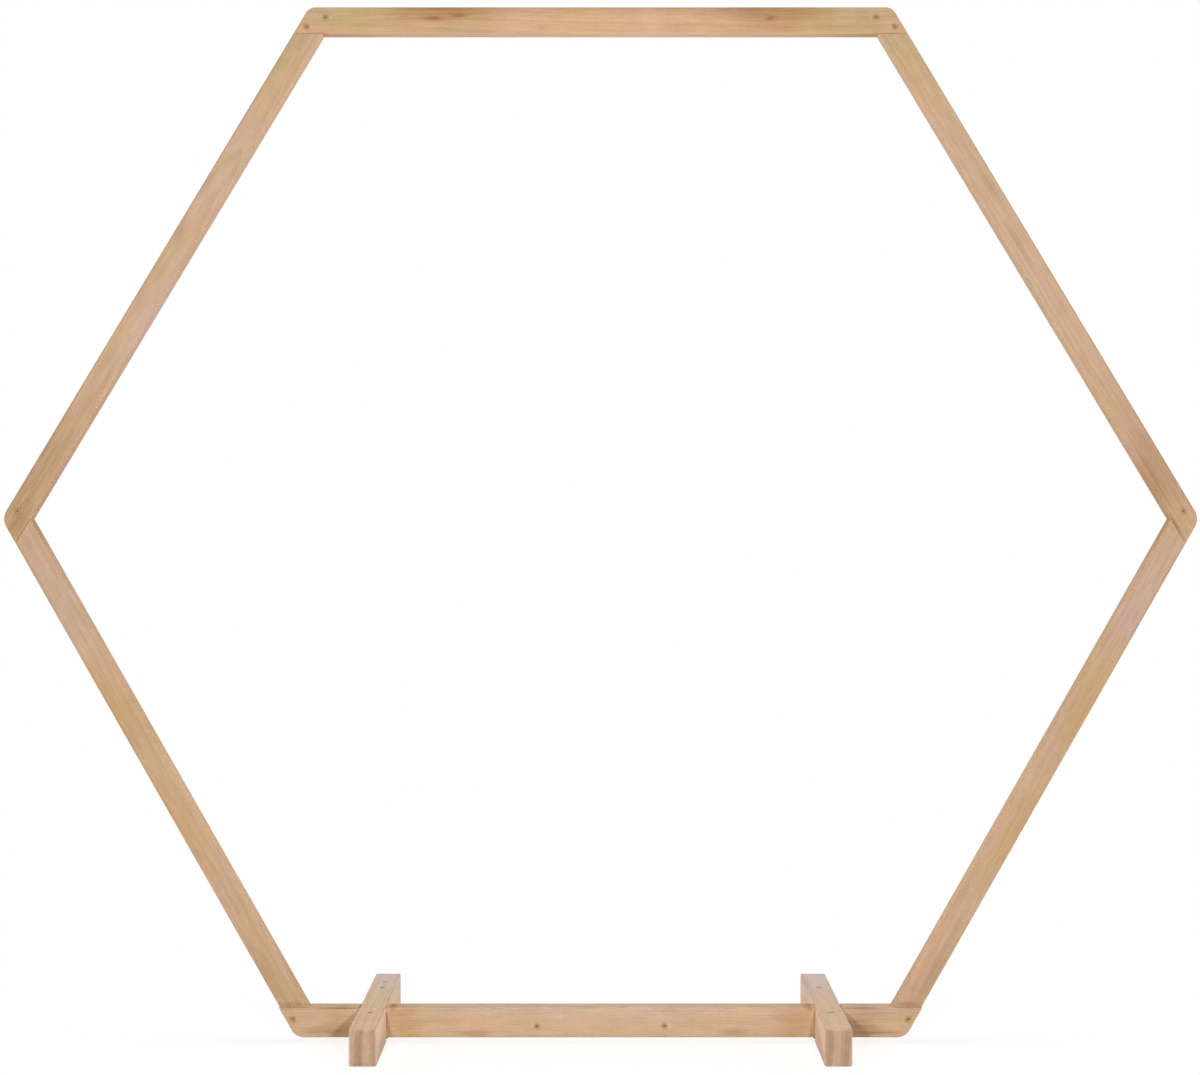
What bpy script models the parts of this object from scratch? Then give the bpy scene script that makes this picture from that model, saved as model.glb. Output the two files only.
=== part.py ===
"""Free-standing hexagonal wedding arch in planed pine.

Six rails are half-lapped at the corners of the hexagon, so that their faces are flush. The bottom
rail is cross-halved with two foot blocks that run from front to back and stand on the ground.
Countersunk holes show where each lap and foot is screwed.
Metres, +Z up, +X to the right seen from the front, and the front faces -Y. The origin is on the
ground, midway along the feet.
"""

import math

import bmesh
import bpy
from mathutils import Vector

# Outer edges of the hexagon
POINT_TO_POINT = 2.200
TOP_RAIL_LENGTH = 1.070
BOTTOM_RAIL_LENGTH = 1.115
SIDE_RAIL_LENGTH = 1.096
GROUND_CLEARANCE = 0.010

# Timber sections
RAIL_THICKNESS = 0.030
TOP_RAIL_WIDTH = 0.049
SIDE_RAIL_WIDTH = 0.046
BOTTOM_RAIL_WIDTH = 0.056
BOTTOM_RAIL_OVERRUN = 0.002
RAIL_ARRIS_RADIUS = 0.0025

# Sanded tips of the hexagon, in plan
TOP_TIP_RADIUS = 0.020
SIDE_TIP_RADIUS = 0.030
BOTTOM_TIP_RADIUS = 0.027

# Foot blocks
FOOT_WIDTH = 0.049
FOOT_INSET = 0.1395
FOOT_FRONT_REACH = 0.155
FOOT_REAR_REACH = 0.235
FOOT_ABOVE_RAIL = 0.000
FOOT_CORNER_RADIUS = 0.006
FOOT_ARRIS_RADIUS = 0.003

# Joints
FIT_GAP = 0.0003
RAIL_NOTCH_DEPTH = 0.028

# Screw holes: the mouth is a little wider than the head, which sits just under the surface
HOLE_MOUTH_RADIUS = 0.0050
HOLE_BORE_RADIUS = 0.0022
HEAD_SINK = 0.0008
FACE_HOLE_DEPTH = 0.026
FOOT_HOLE_DEPTH = 0.050
TOE_HOLE_DEPTH = 0.030
TOE_HEAD_SINK = 0.0030
TOE_LEAN = math.radians(45)

# Screw places: inwards from the nearest outer corner, and away from the outer edge there
TOP_LAP_SCREWS = ((0.0300, 0.0190), (-0.0045, 0.0365))
SIDE_LAP_SCREWS = ((0.0300, 0.0140),)
BOTTOM_LAP_SCREWS = ((-0.0070, 0.0340),)
BOTTOM_RAIL_SCREW_SPREAD = 0.234
BOTTOM_RAIL_SCREW_HEIGHT = 0.0215
FOOT_SCREW_INSET = 0.117
TOE_SCREW_TO_FOOT = 0.013
TOE_SCREW_FROM_FACE = 0.008

# Fineness of the rounded edges
TIP_SEGMENTS = 6
ARRIS_SEGMENTS = 3
CORNER_SEGMENTS = 4
HOLE_SEGMENTS = 16
ARRIS_ANGLE = math.radians(40)

# What follows from the sizes above
foot_length = FOOT_FRONT_REACH + RAIL_THICKNESS + FOOT_REAR_REACH
rail_plane_y = -foot_length / 2 + FOOT_FRONT_REACH + RAIL_THICKNESS / 2
bottom_rail_top = GROUND_CLEARANCE + BOTTOM_RAIL_WIDTH
halving_z = bottom_rail_top - RAIL_NOTCH_DEPTH
foot_height = bottom_rail_top + FOOT_ABOVE_RAIL
foot_centre_x = BOTTOM_RAIL_LENGTH / 2 - FOOT_INSET
cutter_margin = max(TOP_RAIL_WIDTH, SIDE_RAIL_WIDTH, BOTTOM_RAIL_WIDTH)

# Base colours, linear RGB
RAIL_COLOUR = (0.56, 0.37, 0.22, 1.0)
FOOT_COLOUR = (0.60, 0.40, 0.25, 1.0)
RAIL_ROUGHNESS = 0.55
FOOT_ROUGHNESS = 0.65


def clear_scene():
    """Removes what the scene holds."""
    for old in list(bpy.data.objects):
        bpy.data.objects.remove(old, do_unlink=True)


def new_collection(name, hidden=False):
    """A collection linked to the scene."""
    collection = bpy.data.collections.new(name)
    bpy.context.scene.collection.children.link(collection)
    collection.hide_render = hidden
    return collection


def wood_material(name, colour, roughness):
    """Plain pine."""
    material = bpy.data.materials.new(name)
    material.use_nodes = True
    shader = material.node_tree.nodes["Principled BSDF"]
    shader.inputs["Base Color"].default_value = colour
    shader.inputs["Roughness"].default_value = roughness
    shader.inputs["Metallic"].default_value = 0.0
    material.diffuse_color = colour
    return material


def crossing(point_a, direction_a, point_b, direction_b):
    """Where two lines of the hexagon's plane cross."""
    span = direction_a.x * direction_b.y - direction_a.y * direction_b.x
    offset = point_b - point_a
    along = (offset.x * direction_b.y - offset.y * direction_b.x) / span
    return point_a + along * direction_a


def rounded_corner(corner, before, after, radius, segments):
    """Points of the arc that rounds a corner between the points before and after it."""
    to_before = (before - corner).normalized()
    to_after = (after - corner).normalized()
    half_angle = to_before.angle(to_after) / 2
    tangent = radius / math.tan(half_angle)
    centre = corner + (to_before + to_after).normalized() * radius / math.sin(half_angle)
    start = corner + to_before * tangent - centre
    end = corner + to_after * tangent - centre
    turn = math.pi - 2 * half_angle
    points = []
    for step in range(segments + 1):
        share = step / segments
        mix = start * math.sin((1 - share) * turn) + end * math.sin(share * turn)
        points.append(centre + mix / math.sin(turn))
    return points


def extruded_outline(name, points, thickness, collection):
    """A closed mesh of a flat outline in local XY, thick along local Z."""
    curve = bpy.data.curves.new(name, "CURVE")
    curve.dimensions = "2D"
    curve.fill_mode = "BOTH"
    curve.extrude = thickness / 2
    spline = curve.splines.new("POLY")
    spline.points.add(len(points) - 1)
    for target, point in zip(spline.points, points):
        target.co = (point.x, point.y, 0.0, 1.0)
    spline.use_cyclic_u = True
    guide = bpy.data.objects.new(name + "_outline", curve)
    collection.objects.link(guide)
    bpy.context.view_layer.update()
    graph = bpy.context.evaluated_depsgraph_get()
    mesh = bpy.data.meshes.new_from_object(guide.evaluated_get(graph))
    mesh.name = name
    bm = bmesh.new()
    bm.from_mesh(mesh)
    bmesh.ops.remove_doubles(bm, verts=bm.verts, dist=0.00001)
    bmesh.ops.dissolve_limit(bm, angle_limit=0.001, verts=bm.verts, edges=bm.edges)
    bmesh.ops.recalc_face_normals(bm, faces=bm.faces)
    bm.to_mesh(mesh)
    bm.free()
    mesh.shade_flat()
    solid = bpy.data.objects.new(name, mesh)
    solid.matrix_world = guide.matrix_world
    collection.objects.link(solid)
    bpy.data.objects.remove(guide, do_unlink=True)
    bpy.data.curves.remove(curve)
    return solid


def cutter_box(name, size, location, turn_y=0.0):
    """A block that is cut away from others, turned about Y."""
    mesh = bpy.data.meshes.new(name)
    bm = bmesh.new()
    bmesh.ops.create_cube(bm, size=1.0)
    bmesh.ops.scale(bm, vec=Vector(size), verts=bm.verts)
    bm.to_mesh(mesh)
    bm.free()
    cutter = bpy.data.objects.new(name, mesh)
    cutter.location = location
    cutter.rotation_euler = (0.0, turn_y, 0.0)
    cutter.hide_render = True
    cutter.display_type = "WIRE"
    cutters.objects.link(cutter)
    return cutter


def hole_cutter(name, location, rotation, sink, depth):
    """A countersunk hole turned about local Z, which points out of the wood."""
    mouth, bore = HOLE_MOUTH_RADIUS, HOLE_BORE_RADIUS
    profile = [
        (0.0, cutter_margin),
        (mouth, cutter_margin),
        (mouth, -sink),
        (bore, -sink - (mouth - bore)),
        (bore, -depth),
        (0.0, -depth),
    ]
    mesh = bpy.data.meshes.new(name)
    edges = [(index, index + 1) for index in range(len(profile) - 1)]
    mesh.from_pydata([(x, 0.0, z) for x, z in profile], edges, [])
    cutter = bpy.data.objects.new(name, mesh)
    cutter.location = location
    cutter.rotation_euler = rotation
    cutter.hide_render = True
    cutter.display_type = "WIRE"
    cutters.objects.link(cutter)
    turned = cutter.modifiers.new("turned", "SCREW")
    turned.steps = HOLE_SEGMENTS
    turned.render_steps = HOLE_SEGMENTS
    turned.use_merge_vertices = True
    turned.merge_threshold = 0.0001
    return cutter


def ease_arrises(solid, radius):
    """Rounds the sharp edges of a piece, as a sander does."""
    bevel = solid.modifiers.new("eased_arrises", "BEVEL")
    bevel.width = radius
    bevel.segments = ARRIS_SEGMENTS
    bevel.limit_method = "ANGLE"
    bevel.angle_limit = ARRIS_ANGLE


def cut(solid, cutter):
    """Takes the cutter out of a piece."""
    boolean = solid.modifiers.new(cutter.name, "BOOLEAN")
    boolean.operation = "DIFFERENCE"
    boolean.solver = "EXACT"
    boolean.object = cutter


def hexagon_corners():
    """Outer corners in the hexagon's plane, from the ground up."""
    lower_run = (POINT_TO_POINT - BOTTOM_RAIL_LENGTH) / 2
    upper_run = (POINT_TO_POINT - TOP_RAIL_LENGTH) / 2
    lower_rise = math.sqrt(SIDE_RAIL_LENGTH**2 - lower_run**2)
    upper_rise = math.sqrt(SIDE_RAIL_LENGTH**2 - upper_run**2)
    bottom_z = GROUND_CLEARANCE
    side_z = bottom_z + lower_rise
    top_z = side_z + upper_rise
    return {
        "bottom_left": Vector((-BOTTOM_RAIL_LENGTH / 2, bottom_z)),
        "bottom_right": Vector((BOTTOM_RAIL_LENGTH / 2, bottom_z)),
        "right": Vector((POINT_TO_POINT / 2, side_z)),
        "top_right": Vector((TOP_RAIL_LENGTH / 2, top_z)),
        "top_left": Vector((-TOP_RAIL_LENGTH / 2, top_z)),
        "left": Vector((-POINT_TO_POINT / 2, side_z)),
    }


TIP_RADII = {
    "bottom_left": BOTTOM_TIP_RADIUS,
    "bottom_right": BOTTOM_TIP_RADIUS,
    "right": SIDE_TIP_RADIUS,
    "top_right": TOP_TIP_RADIUS,
    "top_left": TOP_TIP_RADIUS,
    "left": SIDE_TIP_RADIUS,
}

# Each rail from corner to corner, anticlockwise seen from the front, so the inside is on its left,
# with its width and how far its ends stand proud of the rails it meets
RAILS = [
    ("bottom_rail", "bottom_left", "bottom_right", BOTTOM_RAIL_WIDTH, BOTTOM_RAIL_OVERRUN),
    ("lower_right_rail", "bottom_right", "right", SIDE_RAIL_WIDTH, 0.0),
    ("upper_right_rail", "right", "top_right", SIDE_RAIL_WIDTH, 0.0),
    ("top_rail", "top_right", "top_left", TOP_RAIL_WIDTH, 0.0),
    ("upper_left_rail", "top_left", "left", SIDE_RAIL_WIDTH, 0.0),
    ("lower_left_rail", "left", "bottom_left", SIDE_RAIL_WIDTH, 0.0),
]

# The rail whose front half runs through at each corner
FRONT_AT_CORNER = {
    "bottom_left": "bottom_rail",
    "bottom_right": "bottom_rail",
    "right": "upper_right_rail",
    "top_right": "top_rail",
    "top_left": "top_rail",
    "left": "upper_left_rail",
}


def rail_lines():
    """For each rail its outer start point, its direction and its inward normal."""
    corners = hexagon_corners()
    lines = []
    for _, start, end, _, _ in RAILS:
        direction = (corners[end] - corners[start]).normalized()
        lines.append((corners[start], direction, Vector((-direction.y, direction.x))))
    return lines


def rail_outline(index, lines):
    """The rail's face: its outer edge with rounded tips, and its inner edge out to the neighbours."""
    _, start_name, end_name, width, overrun = RAILS[index]
    outer_point, direction, inward = lines[index]
    before_point, before_direction, before_inward = lines[index - 1]
    after_point, after_direction, after_inward = lines[(index + 1) % len(lines)]
    before_point = before_point - overrun * before_inward
    after_point = after_point - overrun * after_inward
    start = crossing(outer_point, direction, before_point, before_direction)
    end = crossing(outer_point, direction, after_point, after_direction)
    inner_point = outer_point + inward * width
    inner_start = crossing(inner_point, direction, before_point, before_direction)
    inner_end = crossing(inner_point, direction, after_point, after_direction)
    points = [inner_start]
    points += rounded_corner(start, inner_start, end, TIP_RADII[start_name], TIP_SEGMENTS)
    points += rounded_corner(end, start, inner_end, TIP_RADII[end_name], TIP_SEGMENTS)
    points.append(inner_end)
    return points


def lap_cutter(rail_name, corner_name, neighbour, lines):
    """The half of the rail's thickness that its neighbour takes up at a corner."""
    corner = hexagon_corners()[corner_name]
    width = RAILS[neighbour][3]
    _, direction, inward = lines[neighbour]
    across = cutter_margin + width + FIT_GAP
    middle = corner + inward * (width + FIT_GAP - across / 2)
    depth = RAIL_THICKNESS / 2 + cutter_margin
    shift = (depth - FIT_GAP) / 2
    if FRONT_AT_CORNER[corner_name] != rail_name:
        shift = -shift
    return cutter_box(
        rail_name + "_lap_" + corner_name,
        (8 * cutter_margin, depth, across),
        (middle.x, rail_plane_y + shift, middle.y),
        -math.atan2(direction.y, direction.x),
    )


def make_rail(index, lines, collection):
    """One rail of the hexagon with its two half-laps."""
    name, start_name, end_name, _, _ = RAILS[index]
    rail = extruded_outline(name, rail_outline(index, lines), RAIL_THICKNESS, collection)
    rail.rotation_euler = (math.pi / 2, 0.0, 0.0)
    rail.location = (0.0, rail_plane_y, 0.0)
    rail.data.materials.append(wood_material(name + "_pine", RAIL_COLOUR, RAIL_ROUGHNESS))
    ease_arrises(rail, RAIL_ARRIS_RADIUS)
    cut(rail, lap_cutter(name, start_name, (index - 1) % len(RAILS), lines))
    cut(rail, lap_cutter(name, end_name, (index + 1) % len(RAILS), lines))
    return rail


def foot_notch_in_rail(side_name, centre_x):
    """The notch in the top of the bottom rail that takes a foot."""
    height = RAIL_NOTCH_DEPTH + cutter_margin
    return cutter_box(
        "bottom_rail_notch_" + side_name,
        (FOOT_WIDTH + 2 * FIT_GAP, RAIL_THICKNESS + 2 * cutter_margin, height),
        (centre_x, rail_plane_y, halving_z - FIT_GAP / 2 + height / 2),
    )


def rail_notch_in_foot(side_name, centre_x):
    """The notch in the underside of a foot that takes the bottom rail."""
    height = halving_z + FIT_GAP / 2 + cutter_margin
    return cutter_box(
        side_name + "_foot_notch",
        (FOOT_WIDTH + 2 * cutter_margin, RAIL_THICKNESS + 2 * FIT_GAP, height),
        (centre_x, rail_plane_y, halving_z + FIT_GAP / 2 - height / 2),
    )


def make_foot(side_name, centre_x, collection):
    """A foot block, flush with the top of the rail that it crosses."""
    half_width = FOOT_WIDTH / 2
    half_length = foot_length / 2
    corners = [
        Vector((-half_width, -half_length)),
        Vector((half_width, -half_length)),
        Vector((half_width, half_length)),
        Vector((-half_width, half_length)),
    ]
    points = []
    for index, corner in enumerate(corners):
        after = corners[(index + 1) % len(corners)]
        points += rounded_corner(
            corner, corners[index - 1], after, FOOT_CORNER_RADIUS, CORNER_SEGMENTS
        )
    foot = extruded_outline(side_name + "_foot", points, foot_height, collection)
    foot.location = (centre_x, 0.0, foot_height / 2)
    foot.data.materials.append(wood_material(side_name + "_foot_pine", FOOT_COLOUR, FOOT_ROUGHNESS))
    ease_arrises(foot, FOOT_ARRIS_RADIUS)
    cut(foot, rail_notch_in_foot(side_name, centre_x))
    return foot


def drill_face(name, x, z, drilled):
    """A screw hole from the front through the named rails."""
    front_y = rail_plane_y - RAIL_THICKNESS / 2
    hole = hole_cutter(name, (x, front_y, z), (math.pi / 2, 0.0, 0.0), HEAD_SINK, FACE_HOLE_DEPTH)
    for piece in drilled:
        cut(parts[piece], hole)


def drill_laps(side_name, side):
    """The screws of the three lap joints on one side; side is -1 on the left and 1 on the right."""
    corners = hexagon_corners()
    upper, lower = "upper_" + side_name + "_rail", "lower_" + side_name + "_rail"
    joints = (
        ("top_" + side_name, TOP_LAP_SCREWS, -1, ("top_rail", upper)),
        (side_name, SIDE_LAP_SCREWS, 1, (upper, lower)),
        ("bottom_" + side_name, BOTTOM_LAP_SCREWS, 1, ("bottom_rail", lower)),
    )
    for corner_name, screws, up, drilled in joints:
        corner = corners[corner_name]
        for number, (inwards, from_edge) in enumerate(screws, 1):
            drill_face(
                corner_name + "_lap_hole_" + str(number),
                corner.x - side * inwards,
                corner.y + up * from_edge,
                drilled,
            )


def drill_foot(side_name, side):
    """The two screws down through the top of a foot, and the slanting one from the rail into it."""
    foot_name = side_name + "_foot"
    for end_name, end in (("front", -1), ("rear", 1)):
        place = (side * foot_centre_x, end * (foot_length / 2 - FOOT_SCREW_INSET), foot_height)
        hole = hole_cutter(
            foot_name + "_hole_" + end_name, place, (0.0, 0.0, 0.0), HEAD_SINK, FOOT_HOLE_DEPTH
        )
        cut(parts[foot_name], hole)
    toe_x = side * (foot_centre_x - FOOT_WIDTH / 2 - TOE_SCREW_TO_FOOT)
    toe_y = rail_plane_y - RAIL_THICKNESS / 2 + TOE_SCREW_FROM_FACE
    toe_hole = hole_cutter(
        foot_name + "_toe_hole",
        (toe_x, toe_y, bottom_rail_top),
        (0.0, -side * TOE_LEAN, 0.0),
        TOE_HEAD_SINK,
        TOE_HOLE_DEPTH,
    )
    cut(parts["bottom_rail"], toe_hole)
    cut(parts[foot_name], toe_hole)


clear_scene()
arch = new_collection("hexagon_wedding_arch")
cutters = new_collection("cutters", hidden=True)

parts = {}
frame_lines = rail_lines()
for rail_index in range(len(RAILS)):
    rail = make_rail(rail_index, frame_lines, arch)
    parts[rail.name] = rail

for side_word, side_sign in (("left", -1), ("right", 1)):
    foot = make_foot(side_word, side_sign * foot_centre_x, arch)
    parts[foot.name] = foot
    cut(parts["bottom_rail"], foot_notch_in_rail(side_word, side_sign * foot_centre_x))
    drill_laps(side_word, side_sign)
    drill_foot(side_word, side_sign)
    drill_face(
        "bottom_rail_hole_" + side_word,
        side_sign * BOTTOM_RAIL_SCREW_SPREAD / 2,
        GROUND_CLEARANCE + BOTTOM_RAIL_SCREW_HEIGHT,
        ("bottom_rail",),
    )
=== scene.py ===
"""Looks of the hexagonal wedding arch: pine boards, screws, floor, light and camera.

Metres, +Z up, +X to the right seen from the front, and the front faces -Y, as in the CAD model.
"""

import math
from collections import namedtuple

import bmesh
import bpy
from mathutils import Matrix, Vector


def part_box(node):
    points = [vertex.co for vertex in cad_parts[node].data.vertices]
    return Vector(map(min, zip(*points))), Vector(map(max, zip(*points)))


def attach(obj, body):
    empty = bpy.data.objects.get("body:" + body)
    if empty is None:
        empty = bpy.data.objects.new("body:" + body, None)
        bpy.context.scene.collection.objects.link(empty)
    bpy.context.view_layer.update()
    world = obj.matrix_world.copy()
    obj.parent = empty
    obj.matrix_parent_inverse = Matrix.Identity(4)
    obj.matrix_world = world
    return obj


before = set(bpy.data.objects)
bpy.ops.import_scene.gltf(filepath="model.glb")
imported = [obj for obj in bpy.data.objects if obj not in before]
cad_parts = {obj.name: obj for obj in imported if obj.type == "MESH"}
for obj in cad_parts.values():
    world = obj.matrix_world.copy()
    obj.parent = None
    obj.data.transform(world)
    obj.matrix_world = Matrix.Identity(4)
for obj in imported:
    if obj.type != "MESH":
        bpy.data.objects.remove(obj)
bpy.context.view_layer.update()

# Outer edges of the hexagon and width of its slanting rails, the same as in the CAD model
POINT_TO_POINT = 2.200
TOP_EDGE = 1.070
BOTTOM_EDGE = 1.115
SIDE_RAIL_WIDTH = 0.046

# What follows from the frame
front_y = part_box("top_rail")[0].y
top_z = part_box("top_rail")[1].z
top_rail_width = top_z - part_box("top_rail")[0].z
bottom_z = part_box("bottom_rail")[0].z
bottom_rail_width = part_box("bottom_rail")[1].z - bottom_z
foot_top_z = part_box("left_foot")[1].z

FORWARD = Vector((0.0, -1.0, 0.0))
UPWARD = Vector((0.0, 0.0, 1.0))
SIDES = (("left", -1), ("right", 1))

# Camera and framing
PHOTO_WIDTH = 1200
PHOTO_HEIGHT = 1075
HORIZON_ROW = 520.0
VISIBLE_WIDTH = 2.2020
MIDDLE_COLUMN = 600.6
CAMERA_DISTANCE = 3.55
CAMERA_HEIGHT = 0.960
SENSOR_WIDTH = 36.0

# Light
WORLD_LIGHT = 0.17
LAMP_DISTANCE = 3.1
FRONT_LAMP_SPREAD = 0.60
FRONT_LAMP_HEIGHT = 1.02
FRONT_LAMP_SIZE = 0.22
FRONT_LAMP_POWER = 46.0
REAR_LAMP_SPREAD = 2.8
REAR_LAMP_HEIGHT = 1.2
REAR_LAMP_SIZE = 1.0
REAR_LAMP_POWER = 70.0
LOW_LAMP_SPREAD = 6.5
LOW_LAMP_HEIGHT = -3.4
LOW_LAMP_SIZE = 2.0
LOW_LAMP_POWER = 340.0
TOP_LAMP_HEIGHT = 7.0
TOP_LAMP_SIZE = 2.4
TOP_LAMP_POWER = 190.0

# Floor: faintly shaded near the feet, and blending into the white backdrop further out
FLOOR_WIDTH = 3.6
FLOOR_DEPTH = 1.8
FLOOR_DROP = 0.0002
FLOOR_SHADE_FROM = 0.20
FLOOR_SHADE_TO = 0.62
FLOOR_SHADE_SCALE = (0.42, 1.0, 1.0)
FLOOR_COLOUR = (0.26, 0.26, 0.257, 1.0)
FLOOR_GLOW = 0.77
FLOOR_ROUGHNESS = 0.9
WHITE = (1.0, 1.0, 1.0, 1.0)

# Pine, linear RGB
EARLY_WOOD = (0.620, 0.410, 0.255, 1.0)
LATE_WOOD = (0.430, 0.235, 0.112, 1.0)
KNOT_HEART = (0.400, 0.205, 0.095, 1.0)
KNOT_BARK = (0.160, 0.072, 0.034, 1.0)
PINE_SPECULAR = 0.30
PINE_ROUGHNESS = (0.52, 0.70)
PINE_BUMP = 0.22
PINE_BUMP_DEPTH = 0.0005

# Cycles of the wood's noises per metre, along a board, across its face and through its depth
WANDER = (1.6, 10.0, 10.0)
RIPPLE = (9.0, 70.0, 70.0)
FIBRE = (26.0, 1100.0, 1100.0)
STREAK = (5.0, 170.0, 170.0)
MOTTLE = (7.0, 26.0, 26.0)
BLOTCH = (20.0, 75.0, 75.0)
DUCT = (60.0, 2600.0, 2600.0)
STAIN_RIM = (9.0, 60.0, 60.0)
KNOT_FLECK = (160.0, 900.0, 900.0)
ARRIS_SHADE_AND_WEAR = (4.0, 50.0, 50.0)
SAW_MARK = (300.0, 140.0, 900.0)

# Added to a board's seed, so that these noises differ from those of its grain
KNOT_FLECK_SEED = 3.0
STAIN_RIM_SEED = 5.0
ARRIS_SHADE_AND_WEAR_SEED = 7.0
SAW_MARK_SEED = 9.0

# Growth rings: how far they stray from circles, how their widths and bands change outwards, and
# between which shares of a ring its late wood grows darker and ends
WANDER_REACH = 0.015
RIPPLE_REACH = 0.0012
WIDTH_CHANGES_PER_METRE = 55.0
WIDTH_CHANGE = 3.2
BANDS_PER_METRE = 64.0
LATE_WOOD_RISE = (0.20, 0.86)
LATE_WOOD_FALL = (0.89, 1.0)
WEAKEST_RING = 0.25
RING_HEIGHT = 0.5
FIBRE_HEIGHT = 0.6

# Tones multiplied into the wood colour, from the low end of a noise's span to its high end
FIBRE_TONES = ((0.93, 0.92, 0.89, 1.0), (1.07, 1.08, 1.11, 1.0))
STREAK_TONES = ((1.035, 1.045, 1.06, 1.0), (0.965, 0.945, 0.92, 1.0))
MOTTLE_TONES = ((0.97, 1.02, 0.89, 1.0), (1.03, 0.98, 1.10, 1.0))
BLOTCH_TONES = ((0.94, 0.93, 0.90, 1.0), (1.05, 1.06, 1.09, 1.0))
SAWN_END_TONES = ((0.84, 0.81, 0.78, 1.0), (0.66, 0.60, 0.56, 1.0))
STREAK_SHARE = 0.7
DUCT_TONE = (0.62, 0.50, 0.38, 1.0)
DUCT_SHARE = 0.60
FIBRE_SPAN = (0.30, 0.70)
STREAK_SPAN = (0.32, 0.68)
MOTTLE_SPAN = (0.32, 0.68)
BLOTCH_SPAN = (0.30, 0.70)
BAND_SPAN = (0.36, 0.64)
DUCT_SPAN = (0.67, 0.75)

# Arrises darkened, partly as wear and partly as painted shade that dims their highlights, and how squarely
# a surface faces along its board where it is a sawn end
ARRIS_SHADE_AND_WEAR_TONE = (0.80, 0.76, 0.72, 1.0)
ARRIS_REACH = 0.0035
ARRIS_SHADE_AND_WEAR_SPAN = (0.25, 0.75)
LEAST_ARRIS_SHADE_AND_WEAR = 0.65
END_ON_SPAN = (0.25, 0.70)

# Knots: how the grain bends round them, their halos, and the rings and flecks of their hearts.
# Each of the three fades away between two distances, where 1 is the knot's own rim.
KNOT_PULL_FADE = (0.6, 3.4)
KNOT_HALO_FADE = (0.6, 2.6)
KNOT_HEART_FADE = (0.55, 1.30)
KNOT_SQUEEZE = (0.0, 0.55, 0.0)
KNOT_HALO_TONE = (0.82, 0.70, 0.56, 1.0)
KNOT_HALO_SHARE = 0.80
KNOT_HEART_SHARE = 0.52
KNOT_RINGS = 5.5
KNOT_RING_SHARE = 0.6
KNOT_FLECK_SHARE = 0.4
KNOT_FLECK_SPAN = (0.40, 0.60)
KNOT_VARIETY = 40.0

# Stains, and painted shade and shadow, each multiplied into the wood colour
OLIVE = (0.86, 0.98, 0.84)
UMBER = (0.80, 0.69, 0.58)
RUST = (0.80, 0.66, 0.54)
TAN = (0.90, 0.86, 0.82)
PALE = (1.08, 1.08, 1.10)
PINK = (1.00, 1.05, 1.16)
HONEY = (1.02, 0.94, 0.80)
# Olive stain, partly also painted shadow
OLIVE_STAIN_AND_SHADOW = (0.74, 0.74, 0.60)
GREY = (0.84, 0.86, 0.92)
DUSK = (0.88, 0.87, 0.88)
ASH = (0.99, 1.07, 1.24)
# Painted shade, warmed as by light bounced off the feet, for the bottom rail beside the feet's inner sides
PAINTED_WARM_SHADE = (0.865, 0.785, 0.665)
# Painted shadow of the feet on the bottom rail
PAINTED_FOOT_SHADOW = (0.815, 0.800, 0.735)
# Painted shadow along an arris
PAINTED_EDGE_SHADOW = (0.52, 0.46, 0.40)
BLUSH = (1.13, 1.06, 1.06)
FROST = (1.00, 1.01, 1.18)
STRAW = (0.92, 0.94, 0.80)
FAWN = (0.87, 0.90, 0.89)
# Darker round the mouths of the toe screws' holes
TOE_HOLE_DARKENING = (0.66, 0.57, 0.50)
BRUISE = (0.82, 0.73, 0.62)
CHIP = (1.14, 1.18, 1.24)

# Marks shorter or thinner than this keep a crisp rim, and the rims of others are drawn out
SMALL_MARK = 0.030
THIN_MARK = 0.007
DRAWN_OUT_RIM = (0.075, 0.009, 0.0)
CRISP_RIM = (0.008, 0.0015, 0.0)

# Marks fade away between two distances, where 1 is their rim, and cover pale streaks less
MARK_FADE = (0.15, 1.25)
LEAST_STREAKY_COVER = 0.62

# How far marks and knots reach into the wood
MARK_DEPTH = 0.06
KNOT_DEPTH = 0.03

# Angle between the lower rails and the level seam above the bottom rail
LOWER_SEAM_TURN = math.radians(60)

# Marks and knots lie along a board from its start, and across it from its outer edge, or from
# the left edge of a foot. A board's pith is across and through it, and leans by two angles.
Mark = namedtuple("Mark", "along across length width tint turn", defaults=(0.0,))
Knot = namedtuple("Knot", "along across length width")
Board = namedtuple("Board", "node start end inside width tone pith lean spacing seed contrast marks knots")
Screw = namedtuple("Screw", "name board head out spin chip")


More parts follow.
